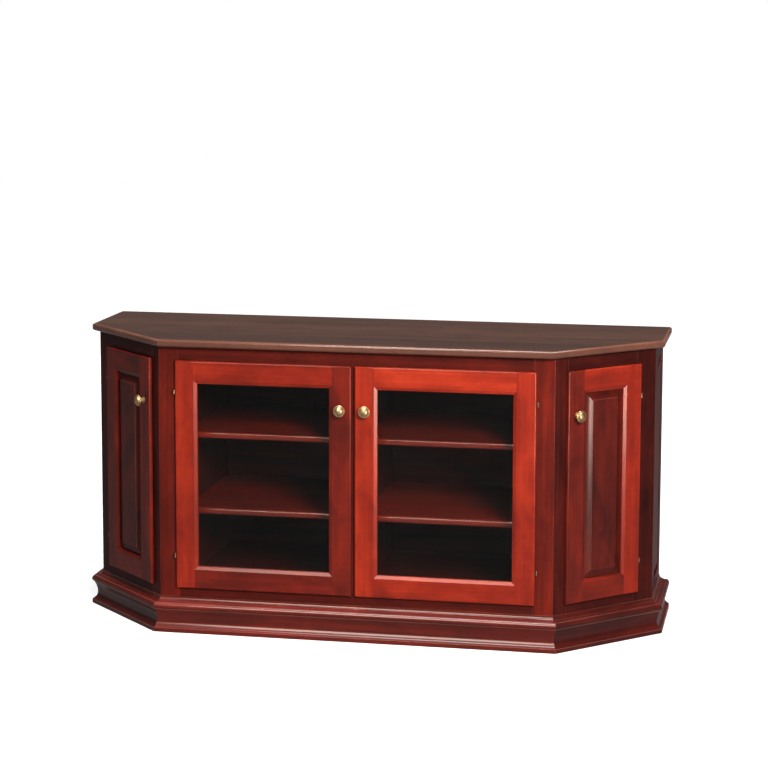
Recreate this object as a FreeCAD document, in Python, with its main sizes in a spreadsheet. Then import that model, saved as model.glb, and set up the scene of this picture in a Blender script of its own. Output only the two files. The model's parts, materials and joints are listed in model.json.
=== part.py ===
import FreeCAD, Part
import PartDesign
import Sketcher
import math
import os
import re

# A console television cabinet with a flat front, two wings turned back at 45 degrees and short
# straight sides. Origin: on the floor, in the middle of the width and of the depth over the knobs.
# +X is the viewer's right, +Y is the back, +Z is up, millimetres.

sizes = {
    # carcase
    "cabinet_height": 762,
    "front_width": 1020,
    "wing_run": 230,
    "side_depth": 256,
    "board": 19,
    "floor_height": 121,
    "top_rail": 42,
    "bottom_rail": 81,
    "front_stile": 52,
    "centre_stile": 22,
    "wing_front_stile": 41,
    "wing_back_stile": 61,
    "side_stile": 57,
    "back_thick": 6,
    "back_rebate": 10,
    "stretcher_width": 80,
    # top
    "top_thick": 19,
    "top_front_over": 22,
    "top_wing_over": 13,
    "top_side_over": 22,
    "top_round": 6,
    # base moulding
    "base_height": 90,
    "base_out": 28,
    "base_clear": 5,
    "base_foot": 11,
    "base_toe": 1,
    "base_flare": 22,
    "base_flare_rise": 20,
    "base_cove": 14,
    "base_sweep": 48,
    "base_nose": 5,
    "base_nose_back": 5,
    "base_nose_drop": 24,
    "base_nose_flat": 2,
    "base_shoulder": 11,
    "base_step_back": 7,
    "base_step_drop": 13,
    "base_step_width": 4,
    "base_step_rise": 2,
    "base_ledge": 10,
    "base_hollow": 10,
    "base_cap": 1.5,
    # shelves and their pins
    "shelf_thick": 16,
    "shelf_setback": 52,
    "wing_shelf_gap": 12,
    "shelf_side_gap": 1.5,
    "shelf_back_gap": 2,
    "shelf_nose": 5,
    "lower_shelf_pin": 295,
    "pin_pitch": 25,
    "shelf_pitches": 8,
    "shelf_pin_length": 9,
    "shelf_pin_radius": 2.5,
    "pin_hole_gap": 0.05,
    "pin_hole_spare": 1,
    "pin_front_column": 90,
    "pin_back_column": 440,
    "side_pin_inset": 41,
    # doors
    "door_thick": 19,
    "lip_width": 9.5,
    "lip_thick": 9.5,
    "lip_round": 4,
    "door_stand_off": 1.5,
    "door_clearance": 3,
    "door_stile": 57.5,
    "door_rail": 58,
    "stick_width": 8,
    "stick_depth": 4,
    "stick_back": 9,
    "glass_thick": 3,
    "glass_gap": 1,
    "glass_stop_thick": 6,
    # raised panels
    "tongue_thick": 6,
    "tongue_gap": 1,
    "bevel_width": 22,
    "side_bevel_rise": 4.5,
    "door_bevel_rise": 6.5,
    "field_rise": 1.5,
    # knobs
    "knob_radius": 15,
    "knob_reach": 25,
    "knob_edge": 27.5,
    "knob_drop": 112.5,
    "knob_screw_radius": 2,
    "knob_screw_length": 14,
    "knob_collar_radius": 8.25,
    "knob_collar_thick": 2,
    "knob_neck_radius": 5.4,
    "knob_neck_start": 4,
    "knob_neck_end": 11,
    "knob_bell": 14,
    "knob_back_rim": 9,
    "knob_back_bevel": 1,
    "knob_wide_rim": 7,
    "knob_front_rim": 4,
    "knob_front_bevel": 2,
    "knob_crown": 26,
    # hinges
    "hinge_inset": 83,
    "pin_beside": 3.5,
    "pin_forward": 5.7,
    "knuckle_radius": 3,
    "knuckle_length": 5.5,
    "knuckle_gap": 0.3,
    "leaf_thick": 1.2,
    "web_inset": 1.8,
    "leaf_height": 50,
    "leaf_reach": 24,
    "leaf_back_gap": 3,
    "hinge_pin_radius": 1.5,
    "hinge_pin_gap": 0.05,
    "pin_head_inset": 0.5,
    "pin_head_height": 1.5,
    "screw_hole_radius": 1.9,
    "screw_spread": 17,
    # cable holes
    "cable_hole_radius": 32,
    "cable_hole_height": 250,
}

derived = {
    "front_half": "front_width / 2",
    "wing_half": "wing_run / sqrt(2)",
    "side_half": "side_depth / 2",
    "body_half": "front_half + wing_run",
    "body_depth": "wing_run + side_depth",
    "mitre": "board * tan(22.5)",
    "door_proud": "door_stand_off + lip_thick",
    "face_y": "-(body_depth - door_proud - knob_reach) / 2",
    "carcase_top": "cabinet_height - top_thick",
    "opening_top": "carcase_top - top_rail",
    "inner_half": "body_half - board",
    "back_front": "body_depth - back_thick",
    "divider_face": "front_half - front_stile",
    "door_overlap": "lip_width - door_clearance",
    "door_bottom": "floor_height - door_overlap",
    "door_top": "opening_top + door_overlap",
    "door_back": "door_thick - door_proud",
    "front_door_half": "(divider_face - centre_stile / 2) / 2 + door_overlap",
    "front_door_centre": "(divider_face + centre_stile / 2) / 2",
    "wing_door_half": "wing_half - (wing_front_stile + wing_back_stile) / 2 + door_overlap",
    "wing_door_shift": "(wing_back_stile - wing_front_stile) / 2",
    "groove_front": "(board - tongue_thick) / 2",
    "door_seat": "stick_back - door_proud",
    "knob_height": "door_top - knob_drop",
    "pin_hole_radius": "shelf_pin_radius + pin_hole_gap",
}

document = FreeCAD.newDocument("TelevisionCabinet")
sheet = document.addObject("Spreadsheet::Sheet", "Sizes")
for row, (alias, amount) in enumerate(sizes.items(), start=1):
    sheet.set(f"A{row}", alias)
    sheet.set(f"B{row}", str(amount))
    sheet.setAlias(f"B{row}", alias)
document.recompute()

pieces = []

# Each wall of the cabinet has its own axes: X along the wall, -Y straight out of it, and the
# origin on the floor in the middle of its outer face.
walls = {
    "front": ("0", "face_y", 0),
    "left_wing": ("-(front_half + wing_run / 2)", "face_y + wing_run / 2", -45),
    "right_wing": ("front_half + wing_run / 2", "face_y + wing_run / 2", 45),
    "left_side": ("-body_half", "face_y + wing_run + side_half", -90),
    "right_side": ("body_half", "face_y + wing_run + side_half", 90),
}

# Wall, middle of the door along the wall, half its width, and the side that its hinges are on.
doors = {
    "front_left_door": {
        "wall": "front", "centre": "-front_door_centre", "half": "front_door_half", "hinge": -1},
    "front_right_door": {
        "wall": "front", "centre": "front_door_centre", "half": "front_door_half", "hinge": 1},
    "left_wing_door": {
        "wall": "left_wing", "centre": "wing_door_shift", "half": "wing_door_half", "hinge": -1},
    "right_wing_door": {
        "wall": "right_wing", "centre": "-wing_door_shift", "half": "wing_door_half", "hinge": 1},
}


def formula(text):
    def spell(found):
        word = found.group()
        if word in sizes:
            return "Sizes." + word
        if word in derived:
            return "(" + formula(derived[word]) + ")"
        return word
    return re.sub(r"[a-z_]\w*", spell, str(text))


def number(text):
    return float(sheet.evalExpression(formula(text)))


def bind(item, field, text):
    item.setExpression(field, formula(text))


def placeOn(item, wall):
    across, back, turn = walls[wall]
    item.Placement = FreeCAD.Placement(FreeCAD.Vector(), FreeCAD.Rotation(FreeCAD.Vector(0, 0, 1), turn))
    bind(item, "Placement.Base.x", across)
    bind(item, "Placement.Base.y", back)


def newBody(name, wall="front"):
    body = document.addObject("PartDesign::Body", name)
    body.Label = name
    placeOn(body, wall)
    return body


def keep(item, name):
    item.Label = name
    pieces.append(item)
    return item


def group(name, members):
    item = document.addObject("Part::Compound", name)
    item.Links = members
    return keep(item, name)


def arcBetween(start, end, radius):
    # The arc that turns left from start to end.
    chord = end - start
    rise = max(radius * radius - chord.Length * chord.Length / 4, 0) ** 0.5
    centre = start + chord * 0.5 + FreeCAD.Vector(-chord.y, chord.x, 0).normalize() * rise
    first = math.atan2(start.y - centre.y, start.x - centre.x)
    last = math.atan2(end.y - centre.y, end.x - centre.x)
    circle = Part.Circle(centre, FreeCAD.Vector(0, 0, 1), radius)
    return Part.ArcOfCircle(circle, first, last if last > first else last + 2 * math.pi)


def outline(body, plane, points, offset=("0", "0", "0")):
    # A closed outline. A point is (x, y), or (x, y, radius) where an arc runs on to the next
    # point: a positive radius turns left and a negative one turns right.
    sketch = body.newObject("Sketcher::SketchObject", body.Name + "Outline")
    support = [item for item in body.Origin.OriginFeatures if item.Role == plane + "_Plane"]
    sketch.AttachmentSupport = [(support[0], "")]
    sketch.MapMode = "FlatFace"
    for axis, text in zip("xyz", offset):
        bind(sketch, "AttachmentOffset.Base." + axis, text)
    corners = [FreeCAD.Vector(number(point[0]), number(point[1]), 0) for point in points]
    ends = []
    for index, point in enumerate(points):
        start = corners[index]
        end = corners[(index + 1) % len(points)]
        if len(point) == 2:
            sketch.addGeometry(Part.LineSegment(start, end))
            ends.append((1, 2))
            continue
        radius = number(point[2])
        sketch.addGeometry(arcBetween(start, end, radius) if radius > 0 else arcBetween(end, start, -radius))
        ends.append((1, 2) if radius > 0 else (2, 1))
    for index, point in enumerate(points):
        first, last = ends[index]
        following = (index + 1) % len(points)
        sketch.addConstraint(Sketcher.Constraint("Coincident", index, last, following, ends[following][0]))
        size(sketch, point[0], "DistanceX", -1, 1, index, first)
        size(sketch, point[1], "DistanceY", -1, 1, index, first)
        if len(point) == 3:
            size(sketch, f"abs({point[2]})", "Radius", index)
    return sketch


def size(sketch, text, *where):
    place = sketch.addConstraint(Sketcher.Constraint(*where, number(text)))
    bind(sketch, f"Constraints[{place}]", text)


def extrude(body, plane, start, length, points):
    sketch = outline(body, plane, points, ("0", "0", start))
    pad = body.newObject("PartDesign::Pad", body.Name + "Pad")
    pad.Profile = sketch
    bind(pad, "Length", length)
    return pad


def carve(body, plane, points):
    sketch = outline(body, plane, points)
    pocket = body.newObject("PartDesign::Pocket", body.Name + "Pocket")
    pocket.Profile = sketch
    pocket.Type = "ThroughAll"
    pocket.Midplane = True
    return pocket


def turn(body, points, across, up):
    # Turned about an axis that stands straight out of the wall.
    sketch = outline(body, "XY", points, (across, "0", up))
    spin = body.newObject("PartDesign::Revolution", body.Name + "Turned")
    spin.Profile = sketch
    spin.ReferenceAxis = (sketch, ["V_Axis"])
    return spin


def block(body, action, low, high):
    box = body.newObject("PartDesign::" + action + "Box", body.Name + "Block")
    for axis, field, near, far in zip("xyz", ("Length", "Width", "Height"), low, high):
        bind(box, "Placement.Base." + axis, near)
        bind(box, field, f"({far}) - ({near})")
    return box


def rod(body, action, start, direction, radius, length):
    cylinder = body.newObject("PartDesign::" + action + "Cylinder", body.Name + "Rod")
    cylinder.Placement = FreeCAD.Placement(
        FreeCAD.Vector(), FreeCAD.Rotation(FreeCAD.Vector(0, 0, 1), FreeCAD.Vector(*direction)))
    for axis, text in zip("xyz", start):
        bind(cylinder, "Placement.Base." + axis, text)
    bind(cylinder, "Radius", radius)
    bind(cylinder, "Height", length)
    return cylinder


def pinHoles(body, start, direction, length):
    # A column of shelf-pin holes above the lowest one.
    feature = rod(body, "Subtractive", start, direction, "pin_hole_radius", length)
    pattern = body.newObject("PartDesign::LinearPattern", body.Name + "Column")
    pattern.Originals = [feature]
    upright = [item for item in body.Origin.OriginFeatures if item.Role == "Z_Axis"]
    pattern.Direction = (upright[0], [""])
    pattern.Mode = "Spacing"
    bind(pattern, "Offset", "pin_pitch")
    bind(pattern, "Occurrences", "shelf_pitches + 1")
    body.Tip = pattern


def roundEdges(body, radius, wanted):
    document.recompute()
    feature = body.Tip
    names = [f"Edge{index}" for index, edge in enumerate(feature.Shape.Edges, start=1)
             if wanted([vertex.Point for vertex in edge.Vertexes])]
    fillet = body.newObject("PartDesign::Fillet", body.Name + "Round")
    fillet.Base = (feature, names)
    bind(fillet, "Radius", radius)
    return fillet


def plank(name, low, high, wall="front"):
    body = newBody(name, wall)
    block(body, "Additive", low, high)
    return body


def signed(side, text):
    return f"{side} * ({text})"


# The top: one slab with its front, wing and side edges rounded above and below.
def makeTop():
    body = newBody("top_slab")
    corner = "front_half - (top_front_over - top_wing_over * sqrt(2))"
    shoulder = "wing_run + top_side_over - top_wing_over * sqrt(2)"
    edge = "body_half + top_side_over"
    extrude(body, "XY", "carcase_top", "top_thick", [
        (signed(-1, corner), "-top_front_over"), (corner, "-top_front_over"),
        (edge, shoulder), (edge, "body_depth"),
        (signed(-1, edge), "body_depth"), (signed(-1, edge), shoulder)])
    back = number("body_depth")
    roundEdges(body, "top_round", lambda ends: abs(ends[0].z - ends[1].z) < 0.1
               and not (ends[0].y > back - 0.1 and ends[1].y > back - 0.1))
    keep(body, "top_slab")


# The face frame of the front: two mitred outer stiles, a centre stile and two rails.
def makeFrontFrame():
    for side, hand in ((-1, "left"), (1, "right")):
        body = newBody(f"front_{hand}_stile")
        extrude(body, "XY", "0", "carcase_top", mitredStile(side, "front_half", "front_stile"))
        keep(body, body.Label)
    keep(plank("centre_stile", ("-centre_stile / 2", "0", "floor_height"),
               ("centre_stile / 2", "board", "opening_top")), "centre_stile")
    for name, low, high in railHeights("front"):
        keep(plank(name, ("-divider_face", "0", low), ("divider_face", "board", high)), name)


def mitredStile(side, half, width):
    return [(signed(side, half), "0"), (signed(side, f"{half} - {width}"), "0"),
            (signed(side, f"{half} - {width}"), "board"), (signed(side, f"{half} - mitre"), "board")]


def railHeights(start):
    return ((f"{start}_top_rail", "opening_top", "carcase_top"),
            (f"{start}_bottom_rail", "floor_height - bottom_rail", "floor_height"))


# The frame around each wing door. "front" is +1 where the wall's X runs forward.
def makeWingFrame(wall, front):
    stiles = []
    for side, name in ((front, "wing_front_stile"), (-front, "wing_back_stile")):
        body = newBody(f"{wall}_{name}", wall)
        extrude(body, "XY", "0", "carcase_top", mitredStile(side, "wing_half", name))
        stiles.append(body)
    group(f"{wall}_stiles", stiles)
    ends = sorted((signed(front, "wing_half - wing_front_stile"),
                   signed(-front, "wing_half - wing_back_stile")), key=number)
    rails = [plank(name, (ends[0], "0", low), (ends[1], "board", high), wall)
             for name, low, high in railHeights(wall)]
    group(f"{wall}_rails", rails)


# Each side: a grooved frame around a raised panel. The front stile is mitred to the wing frame,
# and the back stile is rebated for the back panel. "front" is +1 where the wall's X runs forward.
def makeSide(wall, front):
    inner = "side_half - side_stile"
    bottom = f"{inner} + stick_width"
    grooveBack = "groove_front + tongue_thick"
    groove = [("groove_front", inner), ("groove_front", bottom), (grooveBack, bottom), (grooveBack, inner)]
    ahead = newBody(f"{wall}_front_stile", wall)
    extrude(ahead, "XY", "0", "carcase_top",
            [(signed(front, "side_half"), "0"), (signed(front, inner), "0")]
            + [(signed(front, along), depth) for depth, along in groove]
            + [(signed(front, inner), "board"), (signed(front, "side_half - mitre"), "board")])
    behind = newBody(f"{wall}_back_stile", wall)
    extrude(behind, "XY", "0", "carcase_top",
            [(signed(-front, "side_half"), "0"), (signed(-front, inner), "0")]
            + [(signed(-front, along), depth) for depth, along in groove]
            + [(signed(-front, inner), "board"), (signed(-front, "side_half - back_thick"), "board"),
               (signed(-front, "side_half - back_thick"), "board - back_rebate"),
               (signed(-front, "side_half"), "board - back_rebate")])
    for body, side in ((ahead, front), (behind, -front)):
        pinHoles(body, (signed(side, "side_half - side_pin_inset"), "board", "lower_shelf_pin"),
                 (0, -1, 0), "shelf_pin_length + pin_hole_spare")
    rails = []
    for (name, low, high), up in zip(railHeights(wall), (-1, 1)):
        rail = plank(name, (f"-({inner})", "0", low), (inner, "board", high), wall)
        edge = low if up < 0 else high
        depth = sorted((f"{edge}", f"{edge} - {up} * stick_width"), key=number)
        block(rail, "Subtractive", (f"-({inner})", "groove_front", depth[0]),
              (inner, "groove_front + tongue_thick", depth[1]))
        rails.append(rail)
    group(f"{wall}_frame", [ahead, behind] + rails)
    keep(raisedPanel(f"{wall}_panel", wall, "0", inner, "floor_height", "opening_top", "groove_front",
                     "side_bevel_rise"), f"{wall}_panel")


# A panel with a thin tongue all round, a bevel, and a field that stands a little above it.
def raisedPanel(name, wall, centre, half, low, high, tongueFront, bevelRise):
    body = newBody(name, wall)
    reach = f"({half}) + stick_width - tongue_gap"
    block(body, "Additive",
          (f"{centre} - ({reach})", tongueFront, f"{low} - (stick_width - tongue_gap)"),
          (f"{centre} + ({reach})", f"{tongueFront} + tongue_thick", f"{high} + stick_width - tongue_gap"))
    slope = body.newObject("PartDesign::AdditiveWedge", name + "Bevel")
    slope.Placement = FreeCAD.Placement(FreeCAD.Vector(), FreeCAD.Rotation(FreeCAD.Vector(0, 0, 1), 180))
    for field, text in {
            "Xmin": f"-({half})", "Xmax": f"{half}", "Zmin": low, "Zmax": high,
            "Ymin": f"-({tongueFront})", "Ymax": f"{bevelRise} - ({tongueFront})",
            "X2min": f"bevel_width - ({half})", "X2max": f"({half}) - bevel_width",
            "Z2min": f"{low} + bevel_width", "Z2max": f"{high} - bevel_width"}.items():
        bind(slope, field, text)
    bind(slope, "Placement.Base.x", centre)
    slopeFront = f"({tongueFront}) - {bevelRise}"
    block(body, "Additive",
          (f"{centre} - (({half}) - bevel_width)", f"{slopeFront} - field_rise", f"{low} + bevel_width"),
          (f"{centre} + ({half}) - bevel_width", slopeFront, f"{high} - bevel_width"))
    return body


# Floor, back, upright dividers and the two stretchers that the top is screwed down to.
def makeInside():
    floor = newBody("bottom_panel")
    extrude(floor, "XY", "floor_height - board", "board", [
        ("-(front_half - mitre)", "board"), ("front_half - mitre", "board"),
        ("inner_half", "wing_run + mitre"), ("inner_half", "back_front"),
        ("-inner_half", "back_front"), ("-inner_half", "wing_run + mitre")])
    keep(floor, "bottom_panel")

    width = "inner_half + back_rebate"
    back = plank("back_panel", (f"-({width})", "back_front", "floor_height - board"),
                 (width, "body_depth", "carcase_top"))
    for side in (-1, 1):
        rod(back, "Subtractive", (signed(side, "front_door_centre"), "body_depth", "cable_hole_height"),
            (0, -1, 0), "cable_hole_radius", "back_thick")
    keep(back, "back_panel")

    dividers = {
        "left_divider": "-divider_face - board",
        "centre_divider": "-board / 2",
        "right_divider": "divider_face",
    }
    for name, start in dividers.items():
        divider = plank(name, (start, "board", "floor_height"),
                        (f"{start} + board", "back_front", "carcase_top - board"))
        for column in ("pin_front_column", "pin_back_column"):
            pinHoles(divider, (start, column, "lower_shelf_pin"), (1, 0, 0), "board")
        keep(divider, name)

    ahead = newBody("front_stretcher")
    wide = "front_half - mitre + stretcher_width"
    extrude(ahead, "XY", "carcase_top - board", "board", [
        ("-(front_half - mitre)", "board"), ("front_half - mitre", "board"),
        (wide, "board + stretcher_width"), (signed(-1, wide), "board + stretcher_width")])
    behind = plank("back_stretcher", ("-inner_half", "back_front - stretcher_width", "carcase_top - board"),
                   ("inner_half", "back_front", "carcase_top"))
    group("top_stretchers", [ahead, behind])


# The base moulding: a foot on the floor, a deep cove, a round nose, a step and a small hollow that
# dies into the wall. Neighbouring lengths are mitred together.
def makeBase(name, wall, half, mitredEnds):
    body = newBody(name, wall)
    near = [f"{half} + base_out * tan(22.5)" if end in mitredEnds else half for end in (-1, 1)]
    extrude(body, "XY", "0", "base_height", [
        (signed(-1, half), "0"), (half, "0"), (near[1], "-base_out"), (signed(-1, near[0]), "-base_out")])
    outside = "-(base_out + base_clear)"
    nose = "-(base_out - base_nose_back)"
    noseTop = "base_height - base_nose_drop"
    step = "base_height - base_step_drop"
    carve(body, "YZ", [
        (outside, "base_foot"),
        ("-(base_out - base_toe)", "base_foot", "base_flare"),
        ("-base_cove", "base_foot + base_flare_rise", "base_sweep"),
        (nose, f"{noseTop} - base_nose - base_nose_flat"),
        (nose, f"{noseTop} - base_nose", "-base_nose"),
        (f"{nose} - base_nose", noseTop, "-base_shoulder"),
        ("-(base_out - base_step_back)", step),
        ("-(base_ledge + base_step_width)", step),
        ("-base_ledge", f"{step} + base_step_rise", "base_hollow"),
        ("-base_cap", "base_height"),
        (outside, "base_height")])
    keep(body, name)


# Two shelves in each bay and in each wing, on pins that fit the columns of holes.
def shelfTop(level):
    return f"lower_shelf_pin + {level} * shelf_pitches * pin_pitch + shelf_pin_radius + shelf_thick"


def makeShelves():
    bays = []
    wings = []
    for side, hand in ((-1, "left"), (1, "right")):
        for level, storey in ((0, "lower"), (1, "upper")):
            top = shelfTop(level)
            ends = sorted((signed(side, "board / 2 + shelf_side_gap"),
                           signed(side, "divider_face - shelf_side_gap")), key=number)
            bay = newBody(f"{hand}_{storey}_shelf")
            extrude(bay, "YZ", ends[0], f"({ends[1]}) - ({ends[0]})", [
                ("shelf_setback", f"{top} - shelf_nose"),
                ("shelf_setback", f"{top} - shelf_thick + shelf_nose", "shelf_nose"),
                ("shelf_setback + shelf_nose", f"{top} - shelf_thick"),
                ("back_front - shelf_back_gap", f"{top} - shelf_thick"),
                ("back_front - shelf_back_gap", top),
                ("shelf_setback + shelf_nose", top, "shelf_nose")])
            bays.append(bay)
            near = "divider_face + board + shelf_side_gap"
            far = "inner_half - shelf_side_gap"
            slant = "board + mitre - front_half + wing_shelf_gap * sqrt(2)"
            wing = newBody(f"{hand}_wing_{storey}_shelf")
            extrude(wing, "XY", f"{top} - shelf_thick", "shelf_thick", [
                (signed(side, near), "board + wing_shelf_gap"),
                (signed(side, f"board + wing_shelf_gap - ({slant})"), "board + wing_shelf_gap"),
                (signed(side, far), f"{far} + {slant}"),
                (signed(side, far), "back_front - shelf_back_gap"),
                (signed(side, near), "back_front - shelf_back_gap")])
            wings.append(wing)
    group("bay_shelves", bays)
    group("wing_shelves", wings)


def makeShelfPins():
    pins = []
    spots = [(f"{middle} + {way} * (board / 2 - shelf_pin_length)", way, column)
             for middle in ("-(divider_face + board / 2)", "0", "divider_face + board / 2")
             for way in (-1, 1)
             for column in ("pin_front_column", "pin_back_column")]
    spots += [(signed(side, "inner_half + shelf_pin_length"), -side, column)
              for side in (-1, 1)
              for column in ("wing_run + side_pin_inset", "body_depth - side_pin_inset")]
    for level in (0, 1):
        for start, way, column in spots:
            pin = document.addObject("Part::Cylinder", "shelf_pin")
            pin.Placement = FreeCAD.Placement(
                FreeCAD.Vector(), FreeCAD.Rotation(FreeCAD.Vector(0, 0, 1), FreeCAD.Vector(way, 0, 0)))
            bind(pin, "Placement.Base.x", start)
            bind(pin, "Placement.Base.y", f"face_y + {column}")
            bind(pin, "Placement.Base.z", f"lower_shelf_pin + {level} * shelf_pitches * pin_pitch")
            bind(pin, "Radius", "shelf_pin_radius")
            bind(pin, "Height", "2 * shelf_pin_length")
            pins.append(pin)
    group("shelf_pins", pins)


# Doors. Lengths across a door are measured in from one of its edges, and depths from the face
# frame: a door's lip stands in front of the frame, and the rest of its thickness goes inside.
def fromEdge(door, side, inward):
    return f"({doors[door]['centre']}) + {side} * (({doors[door]['half']}) - ({inward}))"


def stileSection(glazed):
    inner = "door_stile - stick_width"
    section = [("lip_width", "-door_stand_off"), ("lip_width", "door_back")]
    if glazed:
        section += [(inner, "door_back"), (inner, "door_seat")]
    else:
        back = "door_seat + tongue_thick"
        section += [("door_stile", "door_back"), ("door_stile", back), (inner, back), (inner, "door_seat")]
    return section + [("door_stile", "door_seat"), ("door_stile", "stick_depth - door_proud"),
                      (inner, "-door_proud"), ("0", "-door_proud"), ("0", "-door_stand_off")]


def makeDoorFrame(door, glazed):
    wall = doors[door]["wall"]
    half = doors[door]["half"]
    hinge = doors[door]["hinge"]
    front = number("-door_proud")
    edges = (number(fromEdge(door, -1, 0)), number(fromEdge(door, 1, 0)))
    ends = (number("door_bottom"), number("door_top"))

    def onLip(points):
        atFront = all(abs(point.y - front) < 0.01 for point in points)
        upright = any(all(abs(point.x - edge) < 0.01 for point in points) for edge in edges)
        level = any(all(abs(point.z - end) < 0.01 for point in points) for end in ends)
        return atFront and (upright or level)

    stiles = []
    for side, name in ((hinge, "hinge_stile"), (-hinge, "lock_stile")):
        body = newBody(f"{door}_{name}", wall)
        extrude(body, "XY", "door_bottom", "door_top - door_bottom",
                [(fromEdge(door, side, across), depth) for across, depth in stileSection(glazed)])
        span = sorted((fromEdge(door, side, "lip_width"), fromEdge(door, side, "door_stile")), key=number)
        for low, high in (("door_bottom", "door_bottom + lip_width"), ("door_top - lip_width", "door_top")):
            block(body, "Subtractive", (span[0], "-door_stand_off", low), (span[1], "door_back", high))
        if name == "lock_stile":
            rod(body, "Subtractive", (fromEdge(door, side, "knob_edge"), "-door_proud", "knob_height"),
                (0, 1, 0), "knob_screw_radius", "knob_screw_length")
        roundEdges(body, "lip_round", onLip)
        stiles.append(keep(body, body.Label))

    both = document.addObject("Part::Compound", f"{door}_stiles")
    both.Links = stiles
    for up, name, edge in ((1, "bottom_rail", "door_bottom"), (-1, "top_rail", "door_top")):
        rail = newBody(f"{door}_{name}_blank", wall)
        start = fromEdge(door, -1, "door_stile - stick_width")
        length = f"2 * (({half}) - door_stile + stick_width)"
        points = [(depth, f"{edge} + {up} * ({across})") for across, depth in railSection(glazed)]
        extrude(rail, "YZ", start, length, points)
        roundEdges(rail, "lip_round", onLip)
        coped = document.addObject("Part::Cut", f"{door}_{name}")
        coped.Base = rail
        coped.Tool = both
        keep(coped, f"{door}_{name}")


def railSection(glazed):
    return [(across.replace("door_stile", "door_rail"), depth) for across, depth in stileSection(glazed)]


# The glass lies in the rebate behind the moulded edge, and four square strips hold it.
def makeGlass(door):
    wall = doors[door]["wall"]
    inner = "door_stile - stick_width"
    left = fromEdge(door, -1, inner)
    right = fromEdge(door, 1, inner)
    low = "door_bottom + door_rail - stick_width"
    high = "door_top - door_rail + stick_width"
    back = "door_seat + glass_thick"
    keep(plank(f"{door}_glass", (f"{left} + glass_gap", "door_seat", f"{low} + glass_gap"),
               (f"{right} - glass_gap", back, f"{high} - glass_gap"), wall), f"{door}_glass")
    far = f"{back} + glass_stop_thick"
    strips = {
        "left": ((left, back, low), (f"{left} + stick_width", far, high)),
        "right": ((f"{right} - stick_width", back, low), (right, far, high)),
        "lower": ((f"{left} + stick_width", back, low),
                  (f"{right} - stick_width", far, f"{low} + stick_width")),
        "upper": ((f"{left} + stick_width", back, f"{high} - stick_width"),
                  (f"{right} - stick_width", far, high)),
    }
    stops = [plank(f"{door}_{name}_stop", near, end, wall) for name, (near, end) in strips.items()]
    group(f"{door}_glass_stops", stops)


# A turned knob: its screw runs into the stile, and a collar and a thin neck carry a flared bell
# with a low crown.
def makeKnob(door):
    name = f"{door}_knob"
    body = newBody(name, doors[door]["wall"])
    face = "-door_proud"
    tip = f"{face} - knob_reach"
    turn(body, [
        ("0", f"{face} + knob_screw_length"),
        ("knob_screw_radius", f"{face} + knob_screw_length"),
        ("knob_screw_radius", face),
        ("knob_collar_radius", face),
        ("knob_collar_radius", f"{face} - knob_collar_thick"),
        ("knob_neck_radius", f"{face} - knob_neck_start"),
        ("knob_neck_radius", f"{face} - knob_neck_end", "knob_bell"),
        ("knob_radius - knob_back_bevel", f"{tip} + knob_back_rim"),
        ("knob_radius", f"{tip} + knob_wide_rim"),
        ("knob_radius - knob_front_bevel", f"{tip} + knob_front_rim", "-knob_crown"),
        ("0", tip)],
        fromEdge(door, -doors[door]["hinge"], "knob_edge"), "knob_height")
    keep(body, name)


# Hinges for lipped doors: two a door. One leaf wraps the edge of the frame and carries the lower
# knuckle, and the other bends round the lip to the back of the door and carries the upper one.
def hingeHeights():
    return ("door_bottom + hinge_inset", "door_top - hinge_inset")


def pinPlace(door):
    return fromEdge(door, doors[door]["hinge"], "-pin_beside")


def slab(body, door, action, across, depth, height):
    # Box between two distances in from the hinge edge.
    hinge = doors[door]["hinge"]
    span = sorted((fromEdge(door, hinge, across[0]), fromEdge(door, hinge, across[1])), key=number)
    return block(body, action, (span[0], depth[0], height[0]), (span[1], depth[1], height[1]))


def drill(body, start, direction):
    rod(body, "Subtractive", start, direction, "screw_hole_radius", "leaf_thick")


def makeFrameLeaf(door, end, middle):
    hinge = doors[door]["hinge"]
    leaf = newBody(f"{door}_{end}_frame_leaf", doors[door]["wall"])
    outer = "-(pin_beside + knuckle_radius)"
    edge = "lip_width - door_clearance"
    neck = (f"{middle} - knuckle_length", f"{middle} - knuckle_gap / 2")
    plate = (f"{middle} - leaf_height / 2", f"{middle} + leaf_height / 2")
    knuckle = (pinPlace(door), "-pin_forward", neck[0])
    length = "knuckle_length - knuckle_gap / 2"
    slab(leaf, door, "Additive", (outer, f"{edge} + leaf_thick"), ("-leaf_thick", "0"), neck)
    slab(leaf, door, "Additive", (outer, f"{outer} + leaf_thick"), ("-pin_forward", "0"), neck)
    slab(leaf, door, "Additive", (edge, f"{edge} + leaf_thick"), ("0", "board - leaf_back_gap"), plate)
    rod(leaf, "Additive", knuckle, (0, 0, 1), "knuckle_radius", length)
    rod(leaf, "Subtractive", knuckle, (0, 0, 1), "hinge_pin_radius", length)
    for way in (-1, 1):
        drill(leaf, (fromEdge(door, hinge, f"{edge} + leaf_thick"), "board / 2",
                     f"{middle} + {way} * screw_spread"), (hinge, 0, 0))
    return leaf


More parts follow.
